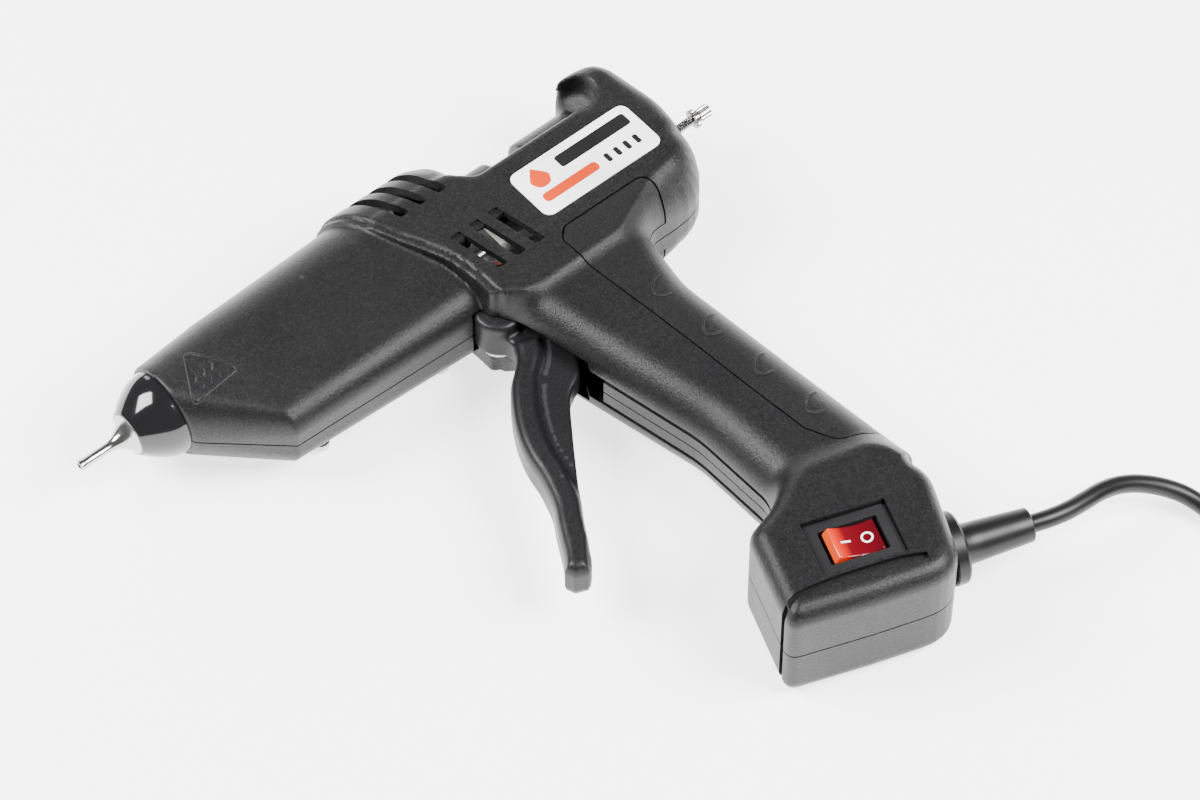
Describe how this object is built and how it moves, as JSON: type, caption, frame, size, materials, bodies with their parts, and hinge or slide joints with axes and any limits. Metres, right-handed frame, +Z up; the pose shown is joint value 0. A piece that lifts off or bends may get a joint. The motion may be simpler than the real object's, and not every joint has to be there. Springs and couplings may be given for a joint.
{
  "type": "hot-melt glue gun",
  "caption": "Trigger-fed hot-melt glue gun with nozzle, nose cone, split shells, trigger and feed linkage, stroke screw, rocker switch and mains lead.",
  "frame": {"origin": "on the bench surface that the gun lies on, under the middle of its outline without the lead", "axes": "+X from the nozzle to the rear along the glue stick, +Y from the handle's foot to the top of the body, +Z up from the bench, towards the gun's left side"},
  "size_m": [0.3217, 0.3053, 0.039],
  "materials": {
    "shell_plastic": "black, fine spark-eroded texture",
    "inlay_plastic": "black, fine texture, softer sheen",
    "trigger_plastic": "black, satin",
    "nose_plastic": "glossy black, heat resistant",
    "label_film": "white printed film",
    "nickel": "bright nickel plate",
    "steel": "zinc-plated steel",
    "cast_aluminium": "as cast",
    "brass": "turned",
    "silicone": "red silicone",
    "white_insulation": "white silicone insulation",
    "ceramic": "pale ceramic",
    "nylon": "natural nylon",
    "switch_black": "black, polished",
    "switch_red": "translucent red, lit from inside",
    "cord_rubber": "black rubber",
    "plug_rubber": "black moulded plug"
  },
  "bodies": {
    "housing": {"left_shell": "shell_plastic", "right_shell": "shell_plastic", "grip_inlay_left": "inlay_plastic", "grip_inlay_right": "inlay_plastic", "label_plate": "label_film", "nose_cone": "nose_plastic", "nozzle": "nickel", "nozzle_washer": "brass", "melt_chamber": "cast_aluminium", "heater_plate": "ceramic", "heater_insulator": "ceramic", "heater_clamp": "steel", "thermal_fuse": "ceramic", "inlet_sleeve": "silicone", "sleeve_clip": "steel", "trigger_pin": "steel", "trigger_spring": "steel", "pivot_spacer": "nylon", "guide_rod_left": "steel", "guide_rod_right": "steel", "guide_bracket": "nylon", "threaded_insert": "brass", "switch_housing": "switch_black", "switch_terminal_1": "brass", "switch_terminal_2": "brass", "lead_live": "silicone", "lead_neutral": "white_insulation", "strain_relief": "cord_rubber", "cord_tail": "cord_rubber", "cord_clamp": "nylon", "clamp_screw_1": "steel", "clamp_screw_2": "steel", "cord_lead": "cord_rubber", "cord_coil": "cord_rubber", "cord_tie": "switch_black", "cord_end": "cord_rubber", "plug_body": "plug_rubber", "plug_pin_1": "nickel", "plug_pin_2": "nickel", "shell_screw_1": "steel", "shell_screw_2": "steel", "shell_screw_3": "steel", "shell_screw_4": "steel", "shell_screw_5": "steel", "shell_screw_6": "steel"},
    "trigger": {"trigger": "trigger_plastic", "link_pin_front": "steel"},
    "feed_carriage": {"feed_carriage": "nylon", "link_pin_rear": "steel", "pawl_pin": "steel"},
    "grip_pawl": {"grip_pawl": "steel"},
    "drive_link": {"drive_link": "steel"},
    "rocker": {"rocker": "switch_red"},
    "screw_foot": {"screw_foot": "nylon"},
    "adjusting_screw": {"adjusting_screw": "nickel"},
    "lock_nut": {"lock_nut": "nickel"}
  },
  "joints": [
    {"name": "trigger_pull", "type": "hinge", "parent": "housing", "child": "trigger", "pos_m": [0.011, 0.0487, 0.0195], "axis": [0, 0, 1], "range_deg": [0, 20], "stiffness_Nm_per_rad": 0.3, "springref_deg": -20.05},
    {"name": "carriage_feed", "type": "slide", "parent": "housing", "child": "feed_carriage", "axis": [-1, 0, 0], "range_m": [0, 0.0085]},
    {"name": "link_swing", "type": "hinge", "parent": "trigger", "child": "drive_link", "pos_m": [0.01517, 0.07233, 0.0195], "axis": [0, 0, -1], "range_deg": [0, 20]},
    {"name": "pawl_bite", "type": "hinge", "parent": "feed_carriage", "child": "grip_pawl", "pos_m": [0.04097, 0.07233, 0.0195], "axis": [0, 0, -1], "range_deg": [0, 8]},
    {"name": "switch_rock", "type": "hinge", "parent": "housing", "child": "rocker", "pos_m": [0.03024, -0.08019, 0.0331], "axis": [0.342, 0.9397, 0], "range_deg": [-16, 0]},
    {"name": "stroke_adjust", "type": "slide", "parent": "housing", "child": "screw_foot", "axis": [-1, 0, 0], "range_m": [0, 0.006]},
    {"name": "screw_turn", "type": "hinge", "parent": "screw_foot", "child": "adjusting_screw", "pos_m": [0.09, 0.0705, 0.0195], "axis": [-1, 0, 0], "range_deg": [0, 4320]},
    {"name": "lock_nut_turn", "type": "hinge", "parent": "adjusting_screw", "child": "lock_nut", "pos_m": [0.1037, 0.0705, 0.0195], "axis": [1, 0, 0], "continuous": true}
  ],
  "couplings": [
    {"joint": "carriage_feed", "follows": "trigger_pull", "m_per_rad": 0.023892},
    {"joint": "link_swing", "follows": "trigger_pull", "ratio": 1},
    {"joint": "pawl_bite", "follows": "trigger_pull", "ratio": 0.4},
    {"joint": "screw_turn", "follows": "stroke_adjust", "rad_per_m": 12566}
  ]
}
